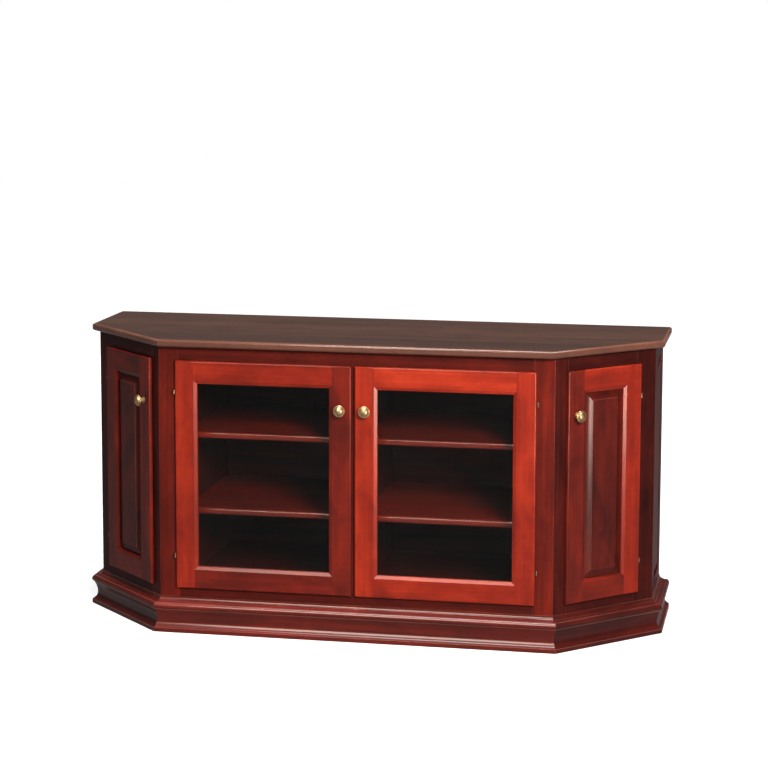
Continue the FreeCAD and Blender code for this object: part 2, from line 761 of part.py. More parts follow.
def makeDoorLeaf(door, end, middle):
    leaf = newBody(f"{door}_{end}_door_leaf", doors[door]["wall"])
    web = "web_inset - pin_beside"
    front = "-door_stand_off"
    neck = (f"{middle} + knuckle_gap / 2", f"{middle} + knuckle_length")
    plate = (f"{middle} - leaf_height / 2", f"{middle} + leaf_height / 2")
    back = ("door_back", "door_back + leaf_thick")
    knuckle = (pinPlace(door), "-pin_forward", neck[0])
    length = "knuckle_length - knuckle_gap / 2"
    inner = f"{front} + leaf_thick"
    slab(leaf, door, "Additive", (web, "lip_width"), (front, inner), neck)
    slab(leaf, door, "Additive", (web, f"{web} + leaf_thick"), ("-pin_forward", inner), neck)
    slab(leaf, door, "Additive", ("lip_width - leaf_thick", "lip_width"), (front, back[1]), neck)
    slab(leaf, door, "Additive", ("lip_width - leaf_thick", "lip_width + leaf_reach"), back, plate)
    rod(leaf, "Additive", knuckle, (0, 0, 1), "knuckle_radius", length)
    rod(leaf, "Subtractive", knuckle, (0, 0, 1), "hinge_pin_radius + hinge_pin_gap", length)
    for way in (-1, 1):
        drill(leaf, (fromEdge(door, doors[door]["hinge"], "lip_width + leaf_reach / 2"), back[1],
                     f"{middle} + {way} * screw_spread"), (0, -1, 0))
    return leaf


# A pin has a round head on the upper knuckle and runs down through both knuckles.
def makePin(door, end, middle):
    pin = newBody(f"{door}_{end}_pin", doors[door]["wall"])
    length = "2 * knuckle_length + knuckle_gap"
    foot = f"{middle} - knuckle_length"
    rod(pin, "Additive", (pinPlace(door), "-pin_forward", foot), (0, 0, 1), "hinge_pin_radius", length)
    rod(pin, "Additive", (pinPlace(door), "-pin_forward", f"{foot} + {length}"), (0, 0, 1),
        "knuckle_radius - pin_head_inset", "pin_head_height")
    return pin


makeTop()
makeFrontFrame()
makeWingFrame("left_wing", 1)
makeWingFrame("right_wing", -1)
makeSide("left_side", 1)
makeSide("right_side", -1)
makeInside()
makeBase("base_moulding_front", "front", "front_half", (-1, 1))
makeBase("base_moulding_left_wing", "left_wing", "wing_half", (-1, 1))
makeBase("base_moulding_right_wing", "right_wing", "wing_half", (-1, 1))
makeBase("base_moulding_left_side", "left_side", "side_half", (1,))
makeBase("base_moulding_right_side", "right_side", "side_half", (-1,))
makeShelves()
makeShelfPins()

frameLeaves = []
hingePins = []
for door, about in doors.items():
    glazed = about["wall"] == "front"
    makeDoorFrame(door, glazed)
    if glazed:
        makeGlass(door)
    else:
        keep(raisedPanel(f"{door}_panel", about["wall"], about["centre"], f"({about['half']}) - door_stile",
                         "door_bottom + door_rail", "door_top - door_rail", "door_seat", "door_bevel_rise"),
             f"{door}_panel")
    makeKnob(door)
    ends = list(zip(("lower", "upper"), hingeHeights()))
    group(f"{door}_hinge_leaves", [makeDoorLeaf(door, end, middle) for end, middle in ends])
    frameLeaves += [makeFrameLeaf(door, end, middle) for end, middle in ends]
    hingePins += [makePin(door, end, middle) for end, middle in ends]
group("hinge_frame_leaves", frameLeaves)
group("hinge_pins", hingePins)

document.recompute()
for item in document.Objects:
    if "Invalid" in item.State or "Error" in item.State:
        raise RuntimeError(f"{item.Name} failed: {item.State} {item.getStatusString()}")
for item in pieces:
    if item.Shape.isNull() or not item.Shape.isValid():
        raise RuntimeError(f"{item.Label} has no valid shape")

os.makedirs("parts", exist_ok=True)
for item in pieces:
    item.Shape.exportStep(f"parts/{item.Label}.step")
    print(item.Label, len(item.Shape.Solids), "solids", round(item.Shape.Volume / 1000, 1), "cm3")
print(len(pieces), "sub-parts")
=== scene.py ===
import bmesh
import bpy
import json
import math
import random
from mathutils import Matrix, Vector


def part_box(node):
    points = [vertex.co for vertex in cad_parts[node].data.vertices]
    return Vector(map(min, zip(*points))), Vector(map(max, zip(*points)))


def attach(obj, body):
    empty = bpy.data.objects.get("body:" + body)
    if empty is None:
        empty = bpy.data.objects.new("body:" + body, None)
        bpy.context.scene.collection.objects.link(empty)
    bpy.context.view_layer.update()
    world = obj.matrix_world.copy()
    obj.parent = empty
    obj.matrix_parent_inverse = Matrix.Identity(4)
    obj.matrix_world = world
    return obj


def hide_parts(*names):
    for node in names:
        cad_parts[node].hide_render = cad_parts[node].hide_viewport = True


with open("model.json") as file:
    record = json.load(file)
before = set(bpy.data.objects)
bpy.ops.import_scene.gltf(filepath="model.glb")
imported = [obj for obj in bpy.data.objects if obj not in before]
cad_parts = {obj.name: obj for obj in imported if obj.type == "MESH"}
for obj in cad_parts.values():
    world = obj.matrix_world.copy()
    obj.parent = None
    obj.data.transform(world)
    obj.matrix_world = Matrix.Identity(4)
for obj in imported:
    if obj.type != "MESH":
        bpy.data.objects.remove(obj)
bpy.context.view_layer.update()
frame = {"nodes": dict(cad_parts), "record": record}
nodes = frame["nodes"]
bodyOf = {node: body for body, members in frame["record"]["behaviour"]["bodies"].items() for node in members}
slotOf = {part["node"]: part["material_slot"] for part in frame["record"]["subparts"]}
print("frame loaded:", len(nodes), "nodes")

wallTurns = {"left_wing": -45, "right_wing": 45, "left_side": -90, "right_side": 90}  # degrees from the front


def wallTurn(node):
    # How far the wall that a node stands in is turned from the front.
    turns = [turn for wall, turn in wallTurns.items() if wall in node]
    return math.radians(turns[0]) if turns else 0


def newObject(name, data):
    item = bpy.data.objects.new(name, data)
    bpy.context.scene.collection.objects.link(item)
    return item


def turnedBack(points, turn):
    # The points as they would lie if their wall were the front.
    back = Matrix.Rotation(-turn, 3, "Z")
    return [back @ point for point in points]


def reachOf(places):
    # The lowest and the highest corner of the box round the places.
    return ([min(place[axis] for place in places) for axis in range(3)],
            [max(place[axis] for place in places) for axis in range(3)])


view = {
    "place": (1.1590, -5.7760, 1.6036),
    "left": 11.026,    # degrees that the camera is turned to its left of straight ahead
    "down": 7.324,     # degrees that it looks down
    "roll": -0.152,
    "lens": 106.97,    # on a 36 mm wide sensor
    "sink": 0.1094,    # of the frame's width, how far the frame is let down
}


def makeCamera():
    camera = newObject("camera", bpy.data.cameras.new("camera"))
    camera.data.sensor_width = 36
    camera.data.lens = view["lens"]
    camera.data.shift_y = -view["sink"]
    swung = Matrix.Rotation(math.radians(view["left"]), 4, "Z")
    tipped = Matrix.Rotation(math.radians(90 - view["down"]), 4, "X")
    rolled = Matrix.Rotation(math.radians(-view["roll"]), 4, "Z")
    camera.matrix_world = Matrix.Translation(view["place"]) @ swung @ tipped @ rolled
    bpy.context.scene.camera = camera
    bpy.context.scene.view_settings.view_transform = "Standard"


studio = {
    "floorReach": 14.0,
    "floorSeen": 0.90,      # how white the floor looks
    "floorThrow": 0.17,     # how much light it throws back at the cabinet
    "skySeen": 1.0,
    "skyThrow": 0.08,
    "sunStrength": 3.4,
    "sunSoftness": 28,      # degrees
    "sunTilt": 6,           # degrees that it leans towards the front
}

# Place, aim, width, height, watts and colour of each soft box.
softBoxes = {
    "keyBox": ((2.3, -3.9, 2.5), (0.1, 0.0, 0.3), 1.5, 1.5, 268, (1.0, 0.97, 0.93)),
    "topBox": ((0.3, -0.5, 3.2), (0.1, 0.0, 0.3), 2.6, 1.0, 40, (1.0, 1.0, 1.0)),
    "backBox": ((-1.6, 4.2, 2.4), (0.0, 0.3, 0.4), 2.0, 2.0, 50, (1.0, 1.0, 1.0)),
    "lowBox": ((1.95, -2.45, 0.42), (0.0, -0.2, 0.40), 0.90, 0.84, 90, (1.0, 0.80, 0.68)),
    "frontBox": ((-0.55, -2.9, 2.45), (0.0, 0.0, 0.3), 1.6, 1.5, 150, (1.0, 0.84, 0.73)),
}
dullBoxes = ("keyBox", "backBox")       # light the cabinet but don't show in its shine
shineBoxes = ("lowBox", "frontBox")     # only show in its shine


def makeSun():
    lamp = bpy.data.lights.new("overhead", "SUN")
    lamp.energy = studio["sunStrength"]
    lamp.angle = math.radians(studio["sunSoftness"])
    newObject("overhead", lamp).rotation_euler = (math.radians(studio["sunTilt"]), 0, 0)


def makeLights():
    for name, (place, aim, width, height, watts, colour) in softBoxes.items():
        lamp = bpy.data.lights.new(name, "AREA")
        lamp.shape = "RECTANGLE"
        lamp.size = width
        lamp.size_y = height
        lamp.energy = watts
        lamp.color = colour
        item = newObject(name, lamp)
        item.location = place
        item.rotation_euler = (Vector(aim) - Vector(place)).to_track_quat("-Z", "Y").to_euler()
        item.visible_camera = False
        item.visible_glossy = name not in dullBoxes
        item.visible_diffuse = name not in shineBoxes


class Wire:
    # An output of a node that can stand in a sum. Each sign adds its own Math node.
    def __init__(self, tree, socket=None):
        self.tree = tree
        self.socket = socket

    def node(self, kind, settings=None, sockets=None, output=0):
        made = self.tree.nodes.new(kind if "Node" in kind else "ShaderNode" + kind)
        for name, value in (settings or {}).items():
            if name == "stops":
                setStops(made.color_ramp, value)
            else:
                setattr(made, name, value)
        for name, value in (sockets or {}).items():
            if isinstance(value, Wire):
                self.tree.links.new(value.socket, made.inputs[name])
            else:
                made.inputs[name].default_value = value
        return Wire(self.tree, made.outputs[output])

    def maths(self, operation, first, second):
        return self.node("Math", {"operation": operation}, {0: first, 1: second})

    def __add__(self, other):
        return self.maths("ADD", self, other)

    def __sub__(self, other):
        return self.maths("SUBTRACT", self, other)

    def __rsub__(self, other):
        return self.maths("SUBTRACT", other, self)

    def __mul__(self, other):
        return self.maths("MULTIPLY", self, other)

    __radd__ = __add__
    __rmul__ = __mul__

    def step(self, low, high):
        # 0 below low, 1 above high, smooth between.
        return self.node("MapRange", {"interpolation_type": "SMOOTHSTEP"},
                         {"Value": self, "From Min": low, "From Max": high})


def setStops(ramp, stops):
    while len(ramp.elements) < len(stops):
        ramp.elements.new(0.5)
    for element, (place, colour) in zip(ramp.elements, stops):
        element.position = place
        element.color = (*colour, 1)


def newMaterial(name):
    material = bpy.data.materials.new(name)
    material.use_nodes = True
    material.node_tree.nodes.clear()
    return material, Wire(material.node_tree)


def finishWith(start, shader):
    end = start.tree.nodes.new("ShaderNodeOutputMaterial")
    start.tree.links.new(shader.socket, end.inputs["Surface"])


# Stain colours from a dark board to a light one.
cherryStain = [
    (0.00, (0.012, 0.0025, 0.0022)),
    (0.20, (0.050, 0.0062, 0.0046)),
    (0.40, (0.125, 0.0115, 0.0068)),
    (0.60, (0.270, 0.0185, 0.0080)),
    (0.80, (0.480, 0.0350, 0.0120)),
    (1.00, (0.760, 0.0850, 0.0320)),
]
umberStain = [
    (0.00, (0.012, 0.0060, 0.0045)),
    (0.30, (0.045, 0.0190, 0.0120)),
    (0.60, (0.120, 0.0480, 0.0280)),
    (1.00, (0.400, 0.1500, 0.0850)),
]
wearAndHighlightColour = (0.50, 0.18, 0.12)    # where rounded edges are rubbed through the stain, and a painted highlight on rounded edges
woodLooks = {
    "topWood": {
        "stain": umberStain, "streak": 0.10, "blotch": 0.10, "figure": 0.03, "pore": 0.10, "wearAndHighlight": 0.18,
        "rough": 0.34, "shine": 0.12, "coat": 0.55, "coatRough": 0.13, "bump": 0.025, "strip": 0.115,
    },
    "frameWood": {
        "stain": cherryStain, "streak": 0.13, "blotch": 0.17, "figure": 0.02, "pore": 0.12, "wearAndHighlight": 0.08,
        "rough": 0.46, "shine": 0.05, "coat": 0.12, "coatRough": 0.12, "bump": 0.10, "strip": 0,
    },
    "doorWood": {
        "stain": cherryStain, "streak": 0.10, "blotch": 0.24, "figure": 0.03, "pore": 0.10, "wearAndHighlight": 0.16,
        "rough": 0.44, "shine": 0.05, "coat": 0.30, "coatRough": 0.19, "bump": 0.05, "strip": 0,
    },
    "mouldingWood": {
        "stain": cherryStain, "streak": 0.12, "blotch": 0.15, "figure": 0.02, "pore": 0.08, "wearAndHighlight": 0.34,
        "rough": 0.42, "shine": 0.08, "coat": 0.60, "coatRough": 0.15, "bump": 0.015, "strip": 0,
    },
    "shelfWood": {
        "stain": cherryStain, "streak": 0.14, "blotch": 0.12, "figure": 0.02, "pore": 0.08, "wearAndHighlight": 0.85,
        "rough": 0.40, "shine": 0.12, "coat": 0.45, "coatRough": 0.14, "bump": 0.03, "strip": 0.14,
    },
    "insideWood": {
        "stain": cherryStain, "streak": 0.12, "blotch": 0.10, "figure": 0.02, "pore": 0.04, "wearAndHighlight": 0.08,
        "rough": 0.60, "shine": 0.05, "coat": 0.04, "coatRough": 0.30, "bump": 0.06, "strip": 0.14,
    },
    "backBoard": {
        "stain": cherryStain, "streak": 0.12, "blotch": 0.10, "figure": 0.02, "pore": 0.00, "wearAndHighlight": 0.00,
        "rough": 0.66, "shine": 0.05, "coat": 0.0, "coatRough": 0.30, "bump": 0.03, "strip": 0.30,
    },
}


# Stretch along, across and through a board, detail, roughness and distortion of each noise.
grainNoises = {
    "streak": ((2.2, 95, 95), 4, 0.6, 0.0),
    "rings": ((1.1, 22, 22), 2, 0.5, 1.4),
    "blotch": ((7, 15, 15), 3, 0.55, 0.6),
    "figure": ((70, 9, 9), 2, 0.5, 0.8),
    "pores": ((55, 900, 900), 2, 0.5, 0.0),
    "flecks": ((26, 210, 210), 2, 0.5, 0.0),
}
grainMix = {
    "poreFrom": 0.60, "poreTo": 0.72,       # noise levels between which a pore opens
    "fleckFrom": 0.66, "fleckTo": 0.78,
    "poreShare": 0.7,                       # how dark pores are beside flecks
    "stripTone": 0.09,                      # between the boards glued up into one panel
    "roughStreak": 0.16, "roughPore": 0.15, "roughBlotch": 0.08,
    "highStreak": 0.35, "deepPore": 0.5, "deepFleck": 0.4, "highRings": 0.25,
    "bumpDistance": 0.0012,
}


def woodFinish(name):
    # Stained close-grained wood. "grain" runs along, across and through each board, and "tone"
    # says how light a board took the stain, partly painted light and shade; "edge" faces get wear and a
    # painted highlight.
    look = woodLooks[name]
    material, start = newMaterial(name)
    grain = start.node("Attribute", {"attribute_name": "grain"}, output="Vector")
    tone = start.node("Attribute", {"attribute_name": "tone"}, output="Fac")
    edge = start.node("Attribute", {"attribute_name": "edge"}, output="Fac")

    def noise(pattern):
        stretch, detail, rough, distortion = grainNoises[pattern]
        spread = start.node("VectorMath", {"operation": "MULTIPLY"}, {0: grain, 1: stretch})
        return start.node("TexNoise", {}, {"Vector": spread, "Scale": 1.0, "Detail": detail,
                                           "Roughness": rough, "Distortion": distortion}, output="Fac")

    mix = grainMix
    streak, rings, blotch, figure = [noise(pattern) for pattern in ("streak", "rings", "blotch", "figure")]
    pores = noise("pores").step(mix["poreFrom"], mix["poreTo"])
    flecks = noise("flecks").step(mix["fleckFrom"], mix["fleckTo"])
    shade = (tone + (streak - 0.5) * look["streak"] * 2 + (rings - 0.5) * look["streak"] * 2
             + (blotch - 0.5) * look["blotch"] * 2 + (figure - 0.5) * look["figure"] * 2
             - pores * look["pore"] * mix["poreShare"] - flecks * look["pore"])
    if look["strip"]:
        across = start.node("SeparateXYZ", {}, {"Vector": grain}, output="Y")
        board = start.node("Math", {"operation": "FLOOR"}, {0: across * (1 / look["strip"])})
        level = start.node("TexWhiteNoise", {"noise_dimensions": "1D"}, {"W": board})
        shade = shade + (level - 0.5) * mix["stripTone"]
    stained = start.node("ValToRGB", {"stops": look["stain"]}, {"Fac": shade}, output="Color")
    # Marked edges are lightened towards a pinkish colour: partly wear, partly painted highlight.
    colour = start.node("Mix", {"data_type": "RGBA"}, {
        "Factor": edge * look["wearAndHighlight"] * (blotch + 0.5), 6: stained, 7: (*wearAndHighlightColour, 1)}, output=2)
    rough = ((streak - 0.5) * mix["roughStreak"] + look["rough"] + pores * mix["roughPore"]
             + (blotch - 0.5) * mix["roughBlotch"])
    height = (streak * mix["highStreak"] - pores * mix["deepPore"] - flecks * mix["deepFleck"]
              + rings * mix["highRings"])
    normal = start.node("Bump", {}, {"Strength": look["bump"], "Distance": mix["bumpDistance"],
                                     "Height": height}, output="Normal")
    finishWith(start, start.node("BsdfPrincipled", {}, {
        "Base Color": colour, "Roughness": rough, "Normal": normal, "Specular IOR Level": look["shine"],
        "Coat Weight": look["coat"], "Coat Roughness": look["coatRough"]}))
    return material


# How light each board took the stain, from 0 to 1, with painted light and shade: boards of the left wing are
# darker where shade falls, and lit boards such as the front and right wing doors are lighter.
stainAndLightTones = {
    "top_slab": 0.34,
    "front_top_rail": 0.34, "front_bottom_rail": 0.33, "centre_stile": 0.34,
    "front_left_stile": 0.39, "front_right_stile": 0.40,
    "left_wing_stiles": 0.20, "left_wing_rails": 0.18,
    "right_wing_stiles": 0.19, "right_wing_rails": 0.19,
    "left_side_frame": 0.24, "right_side_frame": 0.22,
    "left_side_panel": 0.26, "right_side_panel": 0.25,
    "front_left_door_top_rail": 0.63, "front_left_door_hinge_stile": 0.62,
    "front_left_door_lock_stile": 0.46, "front_left_door_bottom_rail": 0.43,
    "front_right_door_top_rail": 0.75, "front_right_door_hinge_stile": 0.63,
    "front_right_door_lock_stile": 0.70, "front_right_door_bottom_rail": 0.62,
    "left_wing_door_top_rail": 0.36, "left_wing_door_bottom_rail": 0.38,
    "left_wing_door_hinge_stile": 0.33, "left_wing_door_lock_stile": 0.40, "left_wing_door_panel": 0.25,
    "right_wing_door_top_rail": 0.64, "right_wing_door_bottom_rail": 0.42,
    "right_wing_door_hinge_stile": 0.58, "right_wing_door_lock_stile": 0.41, "right_wing_door_panel": 0.30,
    "base_moulding_front": 0.39, "base_moulding_left_wing": 0.24, "base_moulding_right_wing": 0.22,
    "base_moulding_left_side": 0.32, "base_moulding_right_side": 0.32,
    "bay_shelves": 0.50, "wing_shelves": 0.24, "bottom_panel": 0.20, "top_stretchers": 0.22,
    "left_divider": 0.18, "centre_divider": 0.18, "right_divider": 0.18, "back_panel": 0.18,
    "front_left_door_glass_stops": 0.30, "front_right_door_glass_stops": 0.30,
}
ownFinish = {"bay_shelves": "shelfWood", "wing_shelves": "shelfWood"}
slotFinish = {"top_wood": "topWood", "frame_wood": "frameWood", "door_wood": "doorWood",
              "moulding_wood": "mouldingWood", "inside_wood": "insideWood", "back_board": "backBoard"}
edgeRounds = {"top_wood": 0.0010, "frame_wood": 0.0008, "door_wood": 0.0010, "moulding_wood": 0.0016,
              "inside_wood": 0.0010, "back_board": 0.0005}
boards = {
    "toneSpread": 0.03,     # between neighbouring boards of one node
    "sharpTurn": 20,        # degrees, edges that turn more are rounded over
    "shortEdge": 0.0075,    # edges shorter than this belong to curves and holes
    "smoothTurn": 42,       # degrees, edges that turn less are shaded smooth
    "thinStrip": 0.0024,    # a long face narrower than this is part of a rounded edge,
    "tightTurn": 9,         # if it turns by more degrees than this from the next one
    "slabEdge": 0.0085,     # the same width for the edge of the top
    "offsetReach": 9.0,     # how far apart boards lie in the grain pattern
    "longFace": 0.05,       # faces shorter than this are never marked as edges
    "mergeReach": 2e-6,
    "flatTurn": 0.4,        # degrees, faces that turn less are joined into one
    "pointScale": 1e6,      # points within a micrometre are the same point
    "bevelSteps": 2,
}


def solidsOf(mesh):
    # The triangles of one solid follow each other, so a solid ends where every edge has met its other side.
    groups = [[]]
    unmet = set()
    for face in mesh.polygons:
        corners = [tuple(round(value * boards["pointScale"]) for value in mesh.vertices[index].co)
                   for index in face.vertices]
        groups[-1].append(face.index)
        if len(set(corners)) < 3:
            continue
        for start, end in zip(corners, corners[1:] + corners[:1]):
            if (end, start) in unmet:
                unmet.remove((end, start))
            else:
                unmet.add((start, end))
        if not unmet:
            groups.append([])
    return [group for group in groups if group]


def roundedBoard(mesh, faces, slot):
    # One solid of a node with its sharp edges rounded over. "edge" marks the faces that get the wear colour:
    # partly real wear, partly a painted highlight on rounded edges, tight strips and the top's narrow edge
    # faces.
    board = bmesh.new()
    for index in faces:
        corners = [board.verts.new(mesh.vertices[vertex].co) for vertex in mesh.polygons[index].vertices]
        board.faces.new(corners)
    bmesh.ops.remove_doubles(board, verts=board.verts, dist=boards["mergeReach"])
    bmesh.ops.dissolve_degenerate(board, edges=board.edges, dist=boards["mergeReach"])
    bmesh.ops.dissolve_limit(board, angle_limit=math.radians(boards["flatTurn"]), verts=board.verts,
                             edges=board.edges)
    edgeMark = board.faces.layers.float.new("edge")
    for face in board.faces:
        longest = max(edge.calc_length() for edge in face.edges)
        tight = any(edge.is_manifold and edge.calc_face_angle_signed(0) > math.radians(boards["tightTurn"])
                    for edge in face.edges if edge.calc_length() > longest / 2)
        # The top's narrow edge faces get the edge colour as a painted highlight.
        slabHighlightFace = slot == "top_wood" and face.calc_area() < longest * boards["slabEdge"]
        onStrip = tight and face.calc_area() < longest * boards["thinStrip"]
        if longest > boards["longFace"] and (slabHighlightFace or onStrip):
            face[edgeMark] = 1
    turn = math.radians(boards["sharpTurn"])
    sharp = [edge for edge in board.edges
             if edge.is_manifold and edge.calc_length() > boards["shortEdge"]
             and edge.calc_face_angle_signed(0) > turn
             and not all(face[edgeMark] for face in edge.link_faces)]
    if sharp:
        rounded = bmesh.ops.bevel(board, geom=sharp, offset=edgeRounds[slot], segments=boards["bevelSteps"],
                                  profile=0.5, affect="EDGES", clamp_overlap=True, loop_slide=True)
        for face in rounded["faces"]:
            face[edgeMark] = 1
    return board


panelShape = {
    "tongue": 0.006,        # thickness of the part in the groove
    "groove": 0.007,        # depth of the tongue in the groove
    "ledge": 0.0020,        # flat round the edge of the opening
    "bevelEnd": 0.0275,     # from the panel's edge to the field
    "step": 0.0010,         # from the bevel up to the field
    "sag": 0.0011,          # how hollow the bevel is
    "bevelSteps": 8,
    "cornerIn": 0.0003,     # first and last point of the field's rounded corner
    "cornerEnd": 0.0009,
    "smoothTurn": 12,       # degrees, edges that turn less are shaded smooth
}


def raisedPanel(node):
    # A panel whose bevel is slightly hollow, made of rectangles inside each other.
    turn = wallTurn(node)
    low, high = reachOf(turnedBack([vertex.co for vertex in nodes[node].data.vertices], turn))
    shape = panelShape
    ledge = high[1] - shape["tongue"]
    start = shape["groove"] + shape["ledge"]
    rise = ledge - low[1] - shape["step"]
    outline = [(0, high[1]), (0, ledge), (start, ledge)]
    for step in range(1, shape["bevelSteps"] + 1):
        share = step / shape["bevelSteps"]
        sag = shape["sag"] * 4 * share * (1 - share)
        outline.append((start + (shape["bevelEnd"] - start) * share, ledge - rise * share + sag))
    outline += [(shape["bevelEnd"] + shape["cornerIn"], low[1] + shape["cornerIn"]),
                (shape["bevelEnd"] + shape["cornerEnd"], low[1])]
    panel = bmesh.new()
    edgeMark = panel.faces.layers.float.new("edge")
    rings = []
    for inset, depth in outline:
        corners = [(low[0] + inset, low[2] + inset), (high[0] - inset, low[2] + inset),
                   (high[0] - inset, high[2] - inset), (low[0] + inset, high[2] - inset)]
        rings.append([panel.verts.new((across, depth, up)) for across, up in corners])
    for count, (outer, inner) in enumerate(zip(rings, rings[1:])):
        for corner in range(4):
            after = (corner + 1) % 4
            face = panel.faces.new([outer[corner], outer[after], inner[after], inner[corner]])
            # The step and the field's rounded corner get the edge colour: partly wear, partly painted
            # highlight.
            face[edgeMark] = 1 if count >= len(rings) - 3 else 0
    panel.faces.new(rings[-1])
    panel.faces.new(list(reversed(rings[0])))
    bmesh.ops.recalc_face_normals(panel, faces=panel.faces)
    bmesh.ops.transform(panel, matrix=Matrix.Rotation(turn, 4, "Z"), verts=panel.verts)
    return panel


def boardsOf(node):
    if node.endswith(("door_panel", "side_panel")):
        return [raisedPanel(node)]
    source = nodes[node].data
    return [roundedBoard(source, faces, slotOf[node]) for faces in solidsOf(source)]


def markGrain(board, turn, tone, chance):
    # Sets each board's own coordinates: along its longest side, across and through it.
    vector = board.verts.layers.float_vector.new("grain")
    shade = board.verts.layers.float.new("tone")
    places = turnedBack([vertex.co for vertex in board.verts], turn)
    low, high = [Vector(corner) for corner in reachOf(places)]
    order = sorted(range(3), key=lambda axis: low[axis] - high[axis])
    reach = boards["offsetReach"]
    offset = Vector([chance.uniform(-reach, reach) for axis in range(3)])
    for vertex, place in zip(board.verts, places):
        own = place - (low + high) / 2
        vertex[vector] = Vector([own[axis] for axis in order]) + offset
        vertex[shade] = tone


def woodenPiece(node, finish):
    chance = random.Random(node)
    together = bmesh.new()
    for board in boardsOf(node):
        # The tone carries painted light and shade as well as the board's stain.
        tone = stainAndLightTones[node] + chance.uniform(-1, 1) * boards["toneSpread"]
        markGrain(board, wallTurn(node), tone, chance)
        part = bpy.data.meshes.new("part")
        board.to_mesh(part)
        board.free()
        together.from_mesh(part)
        bpy.data.meshes.remove(part)
    bmesh.ops.triangulate(together, faces=[face for face in together.faces if len(face.verts) > 4])
    mesh = bpy.data.meshes.new(node + "_wood")
    together.to_mesh(mesh)
    together.free()
    mesh.materials.append(finish)
    mesh.shade_smooth()
    turn = panelShape["smoothTurn"] if node.endswith("_panel") else boards["smoothTurn"]
    mesh.set_sharp_from_angle(angle=math.radians(turn))
    return weighNormals(newObject(node + "_wood", mesh))


def weighNormals(piece):
    # Flat faces stay flat next to their rounded edges.
    modifier = piece.modifiers.new("flats", "WEIGHTED_NORMAL")
    modifier.keep_sharp = True
    return settle(piece)


def settle(piece):
    # Turns a piece with modifiers into a plain mesh.
    bpy.context.view_layer.update()
    seen = piece.evaluated_get(bpy.context.evaluated_depsgraph_get())
    mesh = bpy.data.meshes.new_from_object(seen)
    piece.modifiers.clear()
    piece.data = mesh
    mesh.name = piece.name
    return piece


def standFor(piece, node):
    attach(piece, bodyOf[node])
    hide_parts(node)


def makeWood():
    finishes = {name: woodFinish(name) for name in woodLooks}
    count = 0
    for node, slot in slotOf.items():
        if slot in slotFinish:
            finish = ownFinish.get(node, slotFinish[slot])
            standFor(woodenPiece(node, finishes[finish]), node)
            count += 1
    print("wooden pieces:", count)


metalLooks = {
    "agedBrass": {"dark": (0.16, 0.10, 0.04), "bright": (0.60, 0.45, 0.25), "rough": 0.38, "scale": 260},
    "hingeBrass": {"dark": (0.085, 0.048, 0.026), "bright": (0.21, 0.135, 0.075), "rough": 0.40,
                   "scale": 210},
    "screwBrass": {"dark": (0.18, 0.12, 0.05), "bright": (0.55, 0.41, 0.22), "rough": 0.32, "scale": 420},
    "pinSteel": {"dark": (0.30, 0.30, 0.30), "bright": (0.62, 0.62, 0.61), "rough": 0.30, "scale": 320},
}
metalMix = {
    "cloudScale": 0.35, "gritScale": 5.0,       # of the metal's own scale
    "cloudShare": 1.3, "gritShare": 0.5, "shift": 0.35,
    "rubFrom": 0.15, "rubTo": 0.85,             # between dark and rubbed bright
    "darkRough": 0.22, "gritShine": 0.08,
    "bump": 0.12, "bumpDistance": 0.0002,
}


def metalFinish(name):
    look = metalLooks[name]
    mix = metalMix
    material, start = newMaterial(name)
    place = start.node("TexCoord", output="Object")
    cloud = start.node("TexNoise", {}, {"Vector": place, "Scale": look["scale"] * mix["cloudScale"],
                                        "Detail": 4.0}, output="Fac")
    grit = start.node("TexNoise", {}, {"Vector": place, "Scale": look["scale"] * mix["gritScale"],
                                       "Detail": 3.0}, output="Fac")
    rub = cloud * mix["cloudShare"] + grit * mix["gritShare"] - mix["shift"]
    rub = rub.step(mix["rubFrom"], mix["rubTo"])
    colour = start.node("Mix", {"data_type": "RGBA"}, {
        "Factor": rub, 6: (*look["dark"], 1), 7: (*look["bright"], 1)}, output=2)
    rough = (1 - rub) * mix["darkRough"] + look["rough"] - grit * mix["gritShine"]
    normal = start.node("Bump", {}, {"Strength": mix["bump"], "Distance": mix["bumpDistance"],
                                     "Height": grit + cloud}, output="Normal")
    finishWith(start, start.node("BsdfPrincipled", {}, {
        "Base Color": colour, "Metallic": 1.0, "Roughness": rough, "Normal": normal}))
    return material


glassLook = {
    "clear": (0.95, 0.97, 0.96),
    "faceOn": 0.04, "edgeOn": 0.96,     # how much it mirrors, seen square and what is added at a slant
    "fall": 5.0,                        # power by which that rises
    "shine": 0.26, "dusty": 0.05,       # how much of the mirroring shows, and how much dust takes away
    "rough": 0.02, "dustRough": 0.10,
    "dustScale": 7.0, "dustFrom": 0.45, "dustTo": 0.75,
}


def glassFinish():
    # A clear sheet: light goes straight through, and a faint film of dust dulls its shine in places.
    look = glassLook
    material, start = newMaterial("clearGlass")
    place = start.node("TexCoord", output="Object")
    film = start.node("TexNoise", {}, {"Vector": place, "Scale": look["dustScale"], "Detail": 5.0,
                                       "Roughness": 0.6}, output="Fac")
    dust = film.step(look["dustFrom"], look["dustTo"])
    facing = start.node("LayerWeight", {}, {"Blend": 0.5}, output="Facing")
    mirroring = start.maths("POWER", facing, look["fall"]) * look["edgeOn"] + look["faceOn"]
    clear = start.node("BsdfTransparent", {}, {"Color": (*look["clear"], 1)})
    mirror = start.node("BsdfAnisotropic", {}, {
        "Color": (1, 1, 1, 1), "Roughness": dust * look["dustRough"] + look["rough"]})
    finishWith(start, start.node("MixShader", {}, {
        "Fac": mirroring * (look["shine"] - dust * look["dusty"]), 1: clear, 2: mirror}))
    return material


